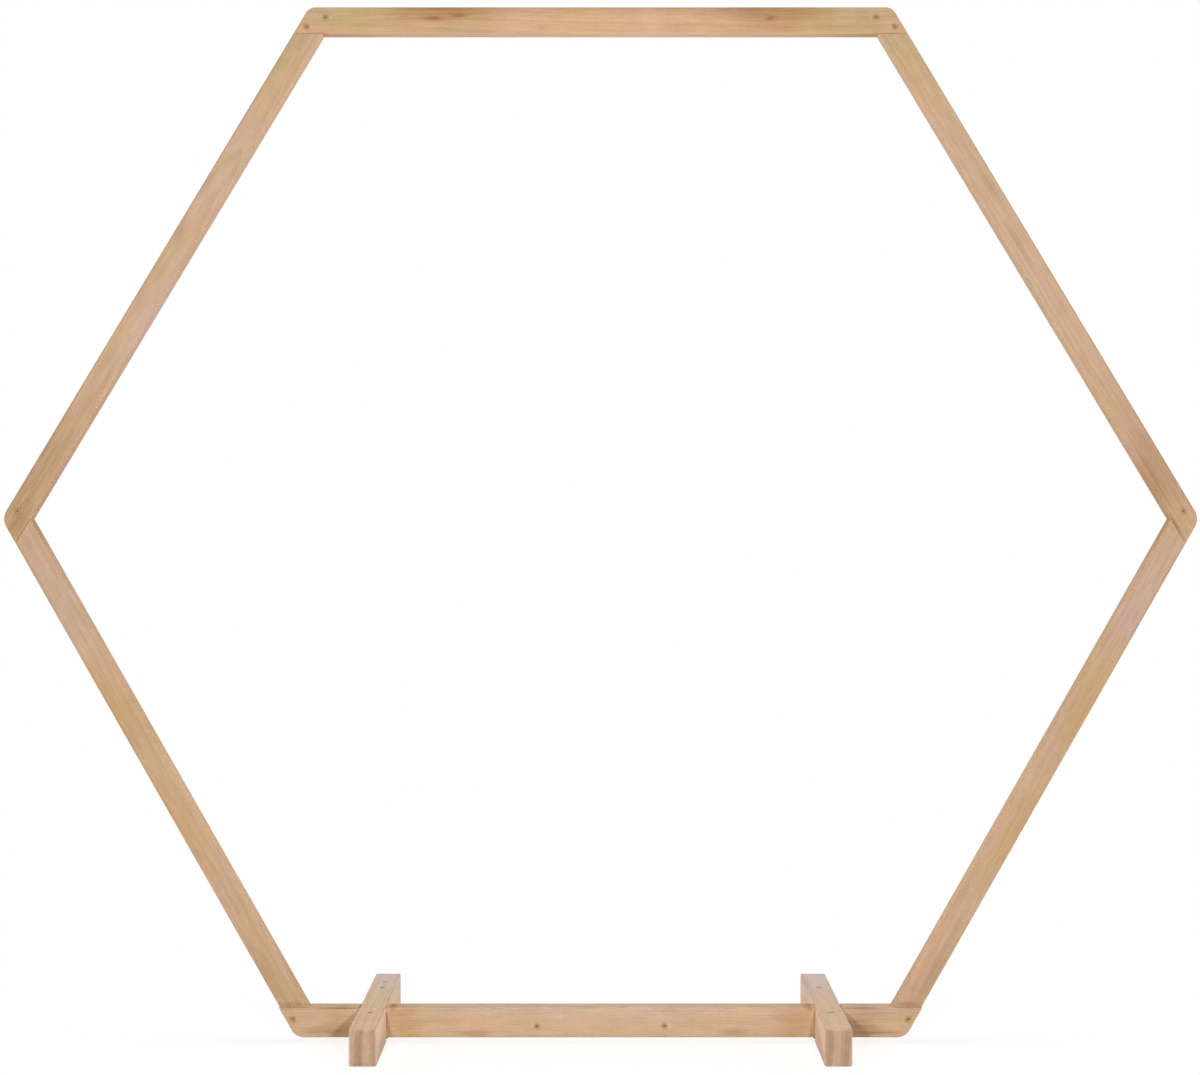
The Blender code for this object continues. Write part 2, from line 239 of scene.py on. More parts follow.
class Graph:
    """Adds nodes to a tree. An input is a number, a vector, a colour or another node's output."""

    def __init__(self, tree):
        self.tree = tree

    def add(self, kind, inputs=None, **settings):
        node = self.tree.nodes.new(kind)
        for name, value in settings.items():
            setattr(node, name, value)
        for key, value in (inputs or {}).items():
            self.feed(node.inputs[key], value)
        return node

    def feed(self, socket, value):
        if isinstance(value, bpy.types.NodeSocket):
            self.tree.links.new(value, socket)
        else:
            socket.default_value = value

    def math(self, operation, first, second=0.0):
        return self.add("ShaderNodeMath", {0: first, 1: second}, operation=operation).outputs[0]

    def vector(self, operation, first, second=(0.0, 0.0, 0.0)):
        node = self.add("ShaderNodeVectorMath", {0: first, 1: second}, operation=operation)
        return node.outputs["Value" if operation in ("LENGTH", "DOT_PRODUCT") else "Vector"]

    def noise(self, place, cycles, seed, detail=2.0, roughness=0.5, output="Fac"):
        """Noise between 0 and 1 with so many cycles per metre along each axis."""
        node = self.add(
            "ShaderNodeTexNoise",
            {"Vector": self.vector("MULTIPLY", place, cycles), "W": seed, "Scale": 1.0},
            noise_dimensions="4D",
        )
        node.inputs["Detail"].default_value = detail
        node.inputs["Roughness"].default_value = roughness
        return node.outputs[output]

    def noise_along(self, value, detail=2.0):
        """Noise between 0 and 1 with one cycle for each step of 1 in the value."""
        inputs = {"W": value, "Scale": 1.0, "Detail": detail}
        return self.add("ShaderNodeTexNoise", inputs, noise_dimensions="1D").outputs["Fac"]

    def tint(self, colour, factor, tone):
        """A colour multiplied by a tone, as far as the factor says."""
        return self.mix(factor, colour, tone, "MULTIPLY")

    def remap(self, value, low, high, to_low=0.0, to_high=1.0, smooth=False):
        node = self.add(
            "ShaderNodeMapRange",
            {"Value": value, "From Min": low, "From Max": high, "To Min": to_low, "To Max": to_high},
            interpolation_type="SMOOTHSTEP" if smooth else "LINEAR",
        )
        return node.outputs["Result"]

    def mix(self, factor, first, second, blend="MIX"):
        """Two colours mixed: inputs 6 and 7 and output 2 are the node's colour sockets."""
        node = self.add("ShaderNodeMix", data_type="RGBA", blend_type=blend)
        self.feed(node.inputs["Factor"], factor)
        self.feed(node.inputs[6], first)
        self.feed(node.inputs[7], second)
        return node.outputs[2]


def new_material(name):
    """A material with a Principled shader, and the graph that its nodes are added to."""
    material = bpy.data.materials.new(name)
    material.use_nodes = True
    return material, Graph(material.node_tree), material.node_tree.nodes["Principled BSDF"]


def hexagon_corners():
    """Outer corners on the front plane, by name."""
    height = top_z - bottom_z
    upper_run = (POINT_TO_POINT - TOP_EDGE) / 2
    lower_run = (POINT_TO_POINT - BOTTOM_EDGE) / 2
    lower_rise = (height + (upper_run**2 - lower_run**2) / height) / 2
    side_z = bottom_z + lower_rise
    return {
        "top_left": Vector((-TOP_EDGE / 2, front_y, top_z)),
        "top_right": Vector((TOP_EDGE / 2, front_y, top_z)),
        "left": Vector((-POINT_TO_POINT / 2, front_y, side_z)),
        "right": Vector((POINT_TO_POINT / 2, front_y, side_z)),
        "bottom_left": Vector((-BOTTOM_EDGE / 2, front_y, bottom_z)),
        "bottom_right": Vector((BOTTOM_EDGE / 2, front_y, bottom_z)),
    }


def grain_group():
    """Growth rings, fibres, streaks and blotches of a board.

    A place is along the board, across its face and through its depth. Heart is the same place
    seen from the pith, which lies beside the board and leans a little, so that faces, edges and
    sawn ends all show one and the same timber.
    """
    group = bpy.data.node_groups.new("pine_grain", "ShaderNodeTree")
    for name in ("Place", "Heart"):
        group.interface.new_socket(name, in_out="INPUT", socket_type="NodeSocketVector")
    for name in ("Spacing", "Seed"):
        group.interface.new_socket(name, in_out="INPUT", socket_type="NodeSocketFloat")
    for name in ("Late", "Band", "Fibre", "Streak", "Mottle", "Blotch", "Duct", "Height"):
        group.interface.new_socket(name, in_out="OUTPUT", socket_type="NodeSocketFloat")
    graph = Graph(group)
    given = graph.add("NodeGroupInput").outputs
    place, seed = given["Place"], given["Seed"]

    wander = graph.noise(place, WANDER, seed)
    ripple = graph.noise(place, RIPPLE, seed)
    radius = graph.vector("LENGTH", graph.vector("MULTIPLY", given["Heart"], (0.0, 1.0, 1.0)))
    radius = graph.math("ADD", radius, graph.remap(wander, 0.0, 1.0, -WANDER_REACH, WANDER_REACH))
    radius = graph.math("ADD", radius, graph.remap(ripple, 0.0, 1.0, -RIPPLE_REACH, RIPPLE_REACH))
    growth = graph.noise_along(graph.math("MULTIPLY", radius, WIDTH_CHANGES_PER_METRE))
    rings = graph.math("DIVIDE", radius, given["Spacing"])
    rings = graph.math("ADD", rings, graph.remap(growth, 0.0, 1.0, 0.0, WIDTH_CHANGE))
    ring_number = graph.math("FLOOR", rings)
    within = graph.math("FRACT", rings)
    each = graph.add("ShaderNodeTexWhiteNoise", {"W": ring_number}, noise_dimensions="1D")
    rise = graph.remap(within, *LATE_WOOD_RISE, smooth=True)
    fall = graph.remap(within, *LATE_WOOD_FALL, 1.0, 0.0, smooth=True)
    strength = graph.remap(each.outputs["Value"], 0.0, 1.0, WEAKEST_RING, 1.0)
    late = graph.math("MULTIPLY", graph.math("MULTIPLY", rise, fall), strength)
    bands = graph.math("ADD", graph.math("MULTIPLY", radius, BANDS_PER_METRE), seed)
    band = graph.noise_along(bands, detail=0.0)

    fibre = graph.noise(place, FIBRE, seed, detail=3.0, roughness=0.6)
    streak = graph.noise(place, STREAK, seed, detail=4.0, roughness=0.55)
    mottle = graph.noise(place, MOTTLE, seed, detail=3.0, roughness=0.55)
    blotch = graph.noise(place, BLOTCH, seed)
    duct = graph.noise(place, DUCT, seed, detail=0.0)
    ring_height = graph.math("MULTIPLY", late, RING_HEIGHT)
    height = graph.math("ADD", ring_height, graph.math("MULTIPLY", fibre, FIBRE_HEIGHT))
    outputs = graph.add("NodeGroupOutput").inputs
    graph.feed(outputs["Late"], late)
    graph.feed(outputs["Band"], graph.remap(band, *BAND_SPAN, smooth=True))
    graph.feed(outputs["Fibre"], graph.remap(fibre, *FIBRE_SPAN))
    graph.feed(outputs["Streak"], graph.remap(streak, *STREAK_SPAN, smooth=True))
    graph.feed(outputs["Mottle"], graph.remap(mottle, *MOTTLE_SPAN))
    graph.feed(outputs["Blotch"], graph.remap(blotch, *BLOTCH_SPAN))
    graph.feed(outputs["Duct"], graph.remap(duct, *DUCT_SPAN, smooth=True))
    graph.feed(outputs["Height"], height)
    return group


def board_axes(start, end, inside):
    """Unit vectors along a board, across its face towards the inside, and square to that face."""
    along = (end - start).normalized()
    across = inside - start
    across = (across - across.dot(along) * along).normalized()
    return along, across, along.cross(across)


def around_mark(graph, place, mark, depth, turn=0.0):
    """Distance from the middle of a mark or knot, which is 1 at its rim."""
    node = graph.add(
        "ShaderNodeMapping",
        {
            "Vector": place,
            "Location": (mark.along, mark.across, 0.0),
            "Rotation": (0.0, 0.0, turn),
            "Scale": (mark.length / 2, mark.width / 2, depth),
        },
        vector_type="TEXTURE",
    )
    return graph.vector("LENGTH", node.outputs["Vector"])


def round_the_knots(graph, place, knots):
    """The place that the grain is read at, which flows round the knots."""
    flowing = place
    for knot in knots:
        away = around_mark(graph, place, knot, KNOT_DEPTH)
        pull = graph.remap(away, *KNOT_PULL_FADE, 1.0, 0.0, smooth=True)
        aside = graph.vector("SUBTRACT", place, (knot.along, knot.across, 0.0))
        aside = graph.vector("MULTIPLY", aside, KNOT_SQUEEZE)
        shift = graph.add("ShaderNodeVectorMath", {0: aside, "Scale": pull}, operation="SCALE")
        flowing = graph.vector("SUBTRACT", flowing, shift.outputs["Vector"])
    return flowing


def on_arris(graph, place, board, middle_depth):
    """1 on the long arrises of a board, and 0 away from them."""
    axes = graph.add("ShaderNodeSeparateXYZ", {"Vector": place}).outputs
    near = []
    for axis, middle in (("Y", board.width / 2), ("Z", middle_depth)):
        off = graph.math("ABSOLUTE", graph.math("SUBTRACT", axes[axis], middle))
        near.append(graph.remap(off, abs(middle) - ARRIS_REACH, abs(middle), smooth=True))
    return graph.math("MULTIPLY", near[0], near[1])


def add_marks(graph, colour, board, place, streak):
    """Stains and painted shade, whose rims are drawn out along the fibres, and the small marks round the
    screws.
    """
    rim_seed = board.seed + STAIN_RIM_SEED
    rim = graph.noise(place, STAIN_RIM, rim_seed, detail=3.0, roughness=0.6, output="Color")
    rim = graph.vector("SUBTRACT", rim, (0.5, 0.5, 0.5))
    drawn_out = graph.vector("ADD", place, graph.vector("MULTIPLY", rim, DRAWN_OUT_RIM))
    crisp = graph.vector("ADD", place, graph.vector("MULTIPLY", rim, CRISP_RIM))
    streaky = graph.remap(streak, 0.0, 1.0, LEAST_STREAKY_COVER, 1.0)
    for mark in board.marks + screw_marks(board):
        small = mark.turn or mark.length < SMALL_MARK or mark.width < THIN_MARK
        away = around_mark(graph, crisp if small else drawn_out, mark, MARK_DEPTH, mark.turn)
        cover = graph.remap(away, *MARK_FADE, 1.0, 0.0, smooth=True)
        cover = graph.math("MULTIPLY", cover, streaky)
        colour = graph.tint(colour, cover, mark.tint + (1.0,))
    return colour, crisp


def add_knots(graph, colour, board, crisp):
    """Small knots: a few dark rings in a brown heart, and wood that darkens towards them."""
    for knot in board.knots:
        away = around_mark(graph, crisp, knot, KNOT_DEPTH)
        halo = graph.remap(away, *KNOT_HALO_FADE, KNOT_HALO_SHARE, 0.0, smooth=True)
        heart = graph.remap(away, *KNOT_HEART_FADE, KNOT_HEART_SHARE, 0.0, smooth=True)
        rings = graph.math("MULTIPLY", away, KNOT_RINGS)
        rings = graph.math("ADD", rings, knot.along * KNOT_VARIETY)
        dark_rings = graph.math("MULTIPLY", graph.noise_along(rings, detail=1.0), KNOT_RING_SHARE)
        fleck_seed = board.seed + KNOT_FLECK_SEED
        fleck = graph.noise(crisp, KNOT_FLECK, fleck_seed, detail=3.0, roughness=0.6)
        flecked = graph.math("ADD", dark_rings, graph.math("MULTIPLY", fleck, KNOT_FLECK_SHARE))
        inner = graph.mix(graph.remap(flecked, *KNOT_FLECK_SPAN), KNOT_BARK, KNOT_HEART)
        colour = graph.tint(colour, halo, KNOT_HALO_TONE)
        colour = graph.mix(heart, colour, inner)
    return colour


def grain_colour(graph, grain, board):
    """The wood colour of a board before its stains: rings, fibres, streaks, blotches and ducts."""
    late = graph.math("MULTIPLY", grain["Late"], board.contrast)
    colour = graph.mix(late, EARLY_WOOD, LATE_WOOD)
    colour = graph.tint(colour, 1.0, board.tone + (1.0,))
    for name, share, tones in (
        ("Fibre", 1.0, FIBRE_TONES),
        ("Streak", STREAK_SHARE, STREAK_TONES),
        ("Mottle", 1.0, MOTTLE_TONES),
        ("Blotch", 1.0, BLOTCH_TONES),
    ):
        colour = graph.tint(colour, share, graph.mix(grain[name], *tones))
    return graph.tint(colour, graph.math("MULTIPLY", grain["Duct"], DUCT_SHARE), DUCT_TONE)


def pine_material(board):
    """The wood of one board, with its own growth rings, stains, painted shade and knots."""
    material, graph, shader = new_material(board.node + "_pine")

    along, across, depth = board_axes(board.start, board.end, board.inside)
    turn = Matrix((along, across, depth)).transposed().to_euler()
    low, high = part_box(board.node)
    middle_depth = depth.dot((low + high) / 2 - board.start)
    spot = graph.add("ShaderNodeTexCoord")
    place = graph.add(
        "ShaderNodeMapping",
        {"Vector": spot.outputs["Object"], "Location": board.start, "Rotation": turn},
        vector_type="TEXTURE",
    ).outputs["Vector"]
    flowing = round_the_knots(graph, place, board.knots)
    length = (board.end - board.start).length
    heart = graph.add(
        "ShaderNodeMapping",
        {
            "Vector": flowing,
            "Location": (length / 2,) + board.pith,
            "Rotation": (0.0,) + board.lean,
        },
        vector_type="TEXTURE",
    ).outputs["Vector"]
    grain = graph.add(
        "ShaderNodeGroup",
        {"Place": flowing, "Heart": heart, "Spacing": board.spacing, "Seed": board.seed},
        node_tree=pine_grain,
    ).outputs

    colour = grain_colour(graph, grain, board)
    colour, crisp = add_marks(graph, colour, board, place, grain["Streak"])
    colour = add_knots(graph, colour, board, crisp)

    # Arrises darkened a little, here more and there less: partly wear, partly painted shade that dims
    # their highlights
    arris = on_arris(graph, place, board, middle_depth)
    shade_and_wear_patches = graph.noise(place, ARRIS_SHADE_AND_WEAR, board.seed + ARRIS_SHADE_AND_WEAR_SEED, detail=3.0)
    shade_and_wear_patches = graph.remap(shade_and_wear_patches, *ARRIS_SHADE_AND_WEAR_SPAN, LEAST_ARRIS_SHADE_AND_WEAR, 1.0)
    shaded_and_worn = graph.math("MULTIPLY", arris, shade_and_wear_patches)
    colour = graph.tint(colour, shaded_and_worn, ARRIS_SHADE_AND_WEAR_TONE)

    # Sawn ends are darker than planed faces, and show the rings as broad bands
    end_on = graph.vector("DOT_PRODUCT", spot.outputs["Normal"], along)
    end_on = graph.remap(graph.math("ABSOLUTE", end_on), *END_ON_SPAN, smooth=True)
    colour = graph.tint(colour, end_on, graph.mix(grain["Band"], *SAWN_END_TONES))

    saw = graph.noise(place, SAW_MARK, board.seed + SAW_MARK_SEED)
    height = graph.math("ADD", grain["Height"], graph.math("MULTIPLY", saw, end_on))
    bump = graph.add("ShaderNodeBump", {"Height": height})
    bump.inputs["Strength"].default_value = PINE_BUMP
    bump.inputs["Distance"].default_value = PINE_BUMP_DEPTH
    graph.feed(shader.inputs["Base Color"], colour)
    graph.feed(shader.inputs["Roughness"], graph.remap(grain["Fibre"], 0.0, 1.0, *PINE_ROUGHNESS))
    graph.feed(shader.inputs["Normal"], bump.outputs["Normal"])
    shader.inputs["Specular IOR Level"].default_value = PINE_SPECULAR
    return material


def rail_board(node, start_name, end_name, width, **looks):
    middle = Vector((0.0, front_y, (top_z + bottom_z) / 2))
    return Board(node, corners[start_name], corners[end_name], middle, width, **looks)


def foot_board(node, **looks):
    low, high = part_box(node)
    start = Vector((low.x, low.y, high.z))
    end = Vector((low.x, high.y, high.z))
    inside = Vector((high.x, low.y, high.z))
    return Board(node, start, end, inside, high.x - low.x, **looks)


def wood_boards():
    """Every board, with what is particular to it."""
    return [
        rail_board(
            "top_rail",
            "top_left",
            "top_right",
            top_rail_width,
            tone=(1.06, 1.00, 0.93),
            pith=(0.16, 0.05),
            lean=(0.010, 0.012),
            spacing=0.0046,
            seed=1.0,
            contrast=0.38,
            marks=[
                Mark(0.530, 0.001, 1.300, 0.034, DUSK),
                Mark(0.090, 0.012, 0.240, 0.070, OLIVE),
                Mark(0.255, 0.006, 0.260, 0.046, UMBER),
                Mark(0.250, 0.006, 0.140, 0.030, TAN),
                Mark(0.540, 0.030, 0.520, 0.080, PALE),
                Mark(0.757, 0.007, 0.050, 0.014, GREY),
                Mark(0.860, 0.010, 0.235, 0.080, UMBER),
                Mark(0.812, 0.006, 0.060, 0.020, TAN),
                Mark(1.010, 0.024, 0.200, 0.100, OLIVE),
                Mark(0.535, 0.050, 1.300, 0.006, ASH),
                Mark(0.030, 0.012, 0.110, 0.050, ASH),
                Mark(0.185, 0.012, 0.140, 0.050, STRAW),
                Mark(0.270, 0.038, 0.170, 0.034, FAWN),
                Mark(0.755, 0.008, 0.210, 0.030, FAWN),
                Mark(1.000, 0.006, 0.160, 0.036, ASH),
            ],
            knots=[
                Knot(0.229, 0.0208, 0.026, 0.0066),
                Knot(0.275, 0.0160, 0.026, 0.0050),
                Knot(0.847, 0.0210, 0.014, 0.0062),
            ],
        ),
        rail_board(
            "upper_left_rail",
            "top_left",
            "left",
            SIDE_RAIL_WIDTH,
            tone=(0.98, 0.98, 0.98),
            pith=(0.030, 0.055),
            lean=(0.016, 0.010),
            spacing=0.0042,
            seed=2.0,
            contrast=0.26,
            marks=[
                Mark(0.110, 0.014, 0.260, 0.070, OLIVE),
                Mark(0.330, 0.030, 0.260, 0.060, PINK),
                Mark(0.472, 0.010, 0.070, 0.022, TAN),
                Mark(0.640, 0.038, 0.260, 0.034, PINK),
                Mark(0.960, 0.016, 0.360, 0.090, TAN),
                Mark(1.000, 0.010, 0.240, 0.060, TAN),
                Mark(1.085, 0.030, 0.110, 0.034, RUST),
                Mark(0.145, 0.026, 0.180, 0.070, BLUSH),
                Mark(0.420, 0.006, 0.260, 0.034, FROST),
                Mark(0.640, 0.040, 0.220, 0.034, FROST),
                Mark(0.745, 0.024, 0.080, 0.040, FAWN),
            ],
            knots=[],
        ),
        rail_board(
            "upper_right_rail",
            "top_right",
            "right",
            SIDE_RAIL_WIDTH,
            tone=(0.98, 0.98, 0.98),
            pith=(0.075, -0.050),
            lean=(-0.014, 0.018),
            spacing=0.0044,
            seed=3.0,
            contrast=0.28,
            marks=[
                Mark(0.110, 0.016, 0.280, 0.060, OLIVE),
                Mark(0.375, 0.016, 0.120, 0.020, TAN),
                Mark(0.500, 0.024, 0.110, 0.016, TAN),
                Mark(0.600, 0.036, 0.240, 0.040, PINK),
                Mark(0.920, 0.014, 0.320, 0.080, TAN),
                Mark(0.990, 0.012, 0.200, 0.060, TAN),
                Mark(0.990, 0.038, 0.150, 0.030, RUST),
                Mark(1.080, 0.044, 0.070, 0.014, RUST),
                Mark(0.145, 0.022, 0.200, 0.070, BLUSH),
                Mark(0.360, 0.014, 0.360, 0.060, FROST),
                Mark(0.820, 0.008, 0.340, 0.034, FROST),
            ],
            knots=[],
        ),
        rail_board(
            "lower_left_rail",
            "left",
            "bottom_left",
            SIDE_RAIL_WIDTH,
            tone=(0.95, 0.95, 0.93),
            pith=(-0.030, 0.060),
            lean=(0.012, -0.016),
            spacing=0.0050,
            seed=4.0,
            contrast=0.26,
            marks=[
                Mark(0.170, 0.020, 0.280, 0.090, PINK),
                Mark(0.405, 0.010, 0.190, 0.070, HONEY),
                Mark(0.190, 0.040, 0.180, 0.034, FROST),
                Mark(0.425, 0.014, 0.180, 0.060, STRAW),
                Mark(0.650, 0.010, 0.240, 0.050, HONEY),
                Mark(0.980, 0.008, 0.220, 0.050, TAN),
                Mark(1.040, 0.024, 0.070, 0.013, RUST, LOWER_SEAM_TURN),
            ],
            knots=[],
        ),
        rail_board(
            "lower_right_rail",
            "right",
            "bottom_right",
            SIDE_RAIL_WIDTH,
            tone=(0.95, 0.95, 0.95),
            pith=(0.055, -0.055),
            lean=(-0.012, -0.014),
            spacing=0.0046,
            seed=5.0,
            contrast=0.26,
            marks=[
                Mark(0.150, 0.022, 0.240, 0.090, PINK),
                Mark(0.230, 0.020, 0.120, 0.050, FROST),
                Mark(0.390, 0.010, 0.190, 0.050, HONEY),
                Mark(0.440, 0.014, 0.180, 0.056, STRAW),
                Mark(0.930, 0.038, 0.260, 0.030, BLUSH),
                Mark(0.660, 0.010, 0.240, 0.050, HONEY),
                Mark(0.980, 0.008, 0.220, 0.050, TAN),
                Mark(1.040, 0.024, 0.070, 0.013, RUST, LOWER_SEAM_TURN),
            ],
            knots=[],
        ),
        rail_board(
            "bottom_rail",
            "bottom_left",
            "bottom_right",
            bottom_rail_width,
            tone=(1.00, 1.00, 0.98),
            pith=(0.20, 0.03),
            lean=(0.010, 0.014),
            spacing=0.0048,
            seed=6.0,
            contrast=0.32,
            marks=[
                Mark(0.560, 0.052, 1.300, 0.044, ASH),
                # Olive stain near the bottom edge beside the left foot, partly also a painted shadow of
                # the foot
                Mark(0.050, 0.012, 0.110, 0.018, OLIVE_STAIN_AND_SHADOW),
                Mark(0.316, 0.009, 0.080, 0.012, RUST),
                Mark(0.560, 0.034, 0.420, 0.090, PALE),
                Mark(0.330, 0.030, 0.140, 0.040, BLUSH),
                Mark(0.800, 0.042, 0.160, 0.034, BLUSH),
                Mark(0.803, 0.010, 0.070, 0.011, UMBER),
                # Painted shade, warm with bounced light, beside the inner sides of the feet
                Mark(0.196, 0.026, 0.090, 0.110, PAINTED_WARM_SHADE),
                Mark(0.919, 0.026, 0.090, 0.110, PAINTED_WARM_SHADE),
                # Olive stain near the bottom edge beside the right foot, partly also a painted shadow of
                # the foot
                Mark(1.066, 0.010, 0.100, 0.014, OLIVE_STAIN_AND_SHADOW),
                # Painted shadows of the feet on the bottom rail, beside their outer sides
                Mark(0.085, 0.020, 0.080, 0.070, PAINTED_FOOT_SHADOW),
                Mark(1.038, 0.026, 0.100, 0.080, PAINTED_FOOT_SHADOW),
                Mark(1.032, 0.018, 0.070, 0.056, PAINTED_FOOT_SHADOW),
                # Painted shadow along the bottom rail's top arris, between the lower rails and the feet
                Mark(0.080, 0.0540, 0.100, 0.0045, PAINTED_EDGE_SHADOW),
                Mark(1.035, 0.0540, 0.100, 0.0045, PAINTED_EDGE_SHADOW),
                # Darker wood round the mouths of the toe screws' holes
                Mark(0.1770, 0.0575, 0.018, 0.0090, TOE_HOLE_DARKENING),
                Mark(0.9380, 0.0575, 0.018, 0.0090, TOE_HOLE_DARKENING),
            ],
            knots=[],
        ),
        foot_board(
            "left_foot",
            tone=(1.08, 1.14, 1.27),
            pith=(0.34, 0.036),
            lean=(0.020, 0.012),
            spacing=0.0052,
            seed=7.0,
            contrast=0.30,
            marks=[Mark(0.36, 0.024, 0.40, 0.090, ASH), Mark(0.40, 0.024, 0.26, 0.090, ASH)],
            knots=[Knot(0.351, 0.0245, 0.0075, 0.0060)],
        ),
        foot_board(
            "right_foot",
            tone=(1.08, 1.14, 1.27),
            pith=(-0.30, 0.030),
            lean=(-0.016, -0.012),
            spacing=0.0054,
            seed=8.0,
            contrast=0.30,
            marks=[
                Mark(0.36, 0.024, 0.40, 0.090, ASH),
                Mark(0.40, 0.024, 0.26, 0.090, ASH),
                Mark(0.33, 0.000, 0.20, 0.030, DUSK),
            ],
            knots=[],
        ),
    ]


# Countersunk screws: the head lies just under the surface, in the hole that the CAD model has
HEAD_RADIUS = 0.0046
SHANK_RADIUS = 0.0019
HEAD_CONE = 0.0023
CROWN_SHARE = 0.93
RIM_DROP_SHARE = 0.06
SHANK_LENGTH = 0.019
HEAD_SINK = 0.0009
TOE_HEAD_SINK = 0.0031
RECESS_REACH = 0.0023
RECESS_HALF_WIDTH = 0.00055
RECESS_DEPTH = 0.0016
RECESS_FLOOR_REACH_SHARE = 0.6
RECESS_FLOOR_WIDTH_SHARE = 0.75
HEAD_SEGMENTS = 32
SHARP_EDGE = math.radians(35)

# Screw steel, linear RGB
STEEL = (0.58, 0.37, 0.20, 1.0)
BROWNED_STEEL = (0.44, 0.26, 0.13, 1.0)
# Painted shade inside the cross recess
RECESS_SHADE_STEEL = (0.18, 0.105, 0.06, 1.0)
STEEL_METALLIC = 0.25
STEEL_SPECULAR = 0.25
STEEL_ROUGHNESS = (0.38, 0.62)
STEEL_ROUGHNESS_SPAN = (0.3, 0.7)
STEEL_BUMP = 0.25
STEEL_BUMP_DEPTH = 0.0002
STEEL_BLOTCH = (700.0, 700.0, 700.0)
STEEL_SCUFF = (2500.0, 400.0, 400.0)
STEEL_BLOTCH_SPAN = (0.35, 0.65)
RECESS_SHADE_DEPTH = 0.0009

# Screw places, as in the CAD model: inwards from the nearest corner, and away from the outer edge
TOP_LAP_SCREWS = ((0.0300, 0.0190), (-0.0045, 0.0365))
SIDE_LAP_SCREWS = ((0.0300, 0.0140),)
BOTTOM_LAP_SCREWS = ((-0.0070, 0.0340),)
BOTTOM_RAIL_SCREW_SPREAD = 0.234
BOTTOM_RAIL_SCREW_HEIGHT = 0.0215
FOOT_SCREW_INSET = 0.117
TOE_SCREW_TO_FOOT = 0.013
TOE_SCREW_FROM_FACE = 0.008
TOE_LEAN = math.radians(45)

# Turns of the cross recesses in radians, which differ from screw to screw
LAP_SPIN_BY_X = 9.0
LAP_SPIN_BY_Z = 5.0
BOTTOM_RAIL_SPIN = 0.4
BOTTOM_RAIL_SPIN_BY_SIDE = 0.3
FOOT_SPIN_BY_END = 0.7
TOE_SPIN = 0.2

# The wood round the heads
BRUISE_SIZE = 0.017
CHIP_SIZE = 0.007
CHIP_REACH = 0.0080


def ring_of_points(bm, radius, height, segments):
    points = []
    for step in range(segments):
        angle = 2 * math.pi * step / segments
        points.append(bm.verts.new((radius * math.cos(angle), radius * math.sin(angle), height)))
    return points


def join_rings(bm, upper, lower):
    count = len(upper)
    for index in range(count):
        after = (index + 1) % count
        bm.faces.new((upper[index], lower[index], lower[after], upper[after]))


def cross_of_points(bm, reach, half_width, height):
    """The twelve corners of a cross, anticlockwise."""
    arm = ((reach, -half_width), (reach, half_width), (half_width, half_width))
    points = []
    for quarter in range(4):
        turn = Matrix.Rotation(quarter * math.pi / 2, 2)
        for corner in arm:
            x, y = turn @ Vector(corner)
            points.append(bm.verts.new((x, y, height)))
    return points


def screw_mesh():
    """A countersunk screw with a cross recess; local Z points out of the wood."""
    bm = bmesh.new()
    crown = ring_of_points(bm, HEAD_RADIUS * CROWN_SHARE, 0.0, HEAD_SEGMENTS)
    rim = ring_of_points(bm, HEAD_RADIUS, -HEAD_RADIUS * RIM_DROP_SHARE, HEAD_SEGMENTS)
    neck = ring_of_points(bm, SHANK_RADIUS, -HEAD_CONE, HEAD_SEGMENTS)
    tip = ring_of_points(bm, SHANK_RADIUS, -SHANK_LENGTH, HEAD_SEGMENTS)
    join_rings(bm, crown, rim)
    join_rings(bm, rim, neck)
    join_rings(bm, neck, tip)
    bm.faces.new(reversed(tip))
    mouth = cross_of_points(bm, RECESS_REACH, RECESS_HALF_WIDTH, 0.0)
    floor_reach = RECESS_REACH * RECESS_FLOOR_REACH_SHARE
    floor_half_width = RECESS_HALF_WIDTH * RECESS_FLOOR_WIDTH_SHARE
    recess_floor = cross_of_points(bm, floor_reach, floor_half_width, -RECESS_DEPTH)
    join_rings(bm, recess_floor, mouth)
    bm.faces.new(recess_floor)
    top_edges = [edge for edge in bm.edges if edge.is_boundary]
    bmesh.ops.triangle_fill(bm, use_beauty=True, use_dissolve=False, edges=top_edges)
    bmesh.ops.recalc_face_normals(bm, faces=bm.faces)
    mesh = bpy.data.meshes.new("countersunk_screw")
    bm.to_mesh(mesh)
    bm.free()
    mesh.shade_smooth()
    mesh.set_sharp_from_angle(angle=SHARP_EDGE)
    return mesh


